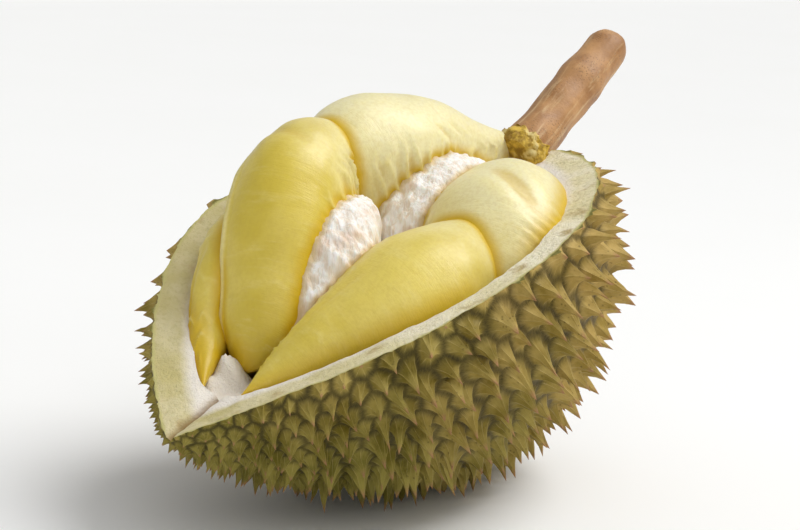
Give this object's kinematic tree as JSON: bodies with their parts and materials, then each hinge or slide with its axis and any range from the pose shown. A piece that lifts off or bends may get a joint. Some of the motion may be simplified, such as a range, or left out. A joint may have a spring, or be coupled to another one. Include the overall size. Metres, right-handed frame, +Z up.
{
  "type": "durian",
  "caption": "Opened durian lying on its thorny belly: part of the husk with its stem, plump yellow pods of aril and white pith between them.",
  "frame": {"origin": "centre of the bounding box's bottom, on the surface that the fruit rests on", "axes": "+X along the fruit from its apex towards the stem, level; +Y to the side of the rear pods; +Z up"},
  "size_m": [0.3054, 0.185, 0.1873],
  "materials": {
    "husk": "matt olive-brown thorny rind, cream and fibrous where it is cut",
    "stem": "dull pinkish-brown bark with fine specks",
    "stem_collar": "rough torn fibre",
    "aril": "creamy yellow flesh with a soft satin skin",
    "pith": "matt white woolly fibre"
  },
  "bodies": {
    "root": {"husk": "husk", "stem": "stem", "stem_collar": "stem_collar", "front_pod_lower": "aril", "front_pod_upper": "aril", "rear_pod_lower": "aril", "rear_pod_upper": "aril", "side_pod": "aril", "pith_lower": "pith", "pith_upper": "pith"}
  },
  "joints": []
}
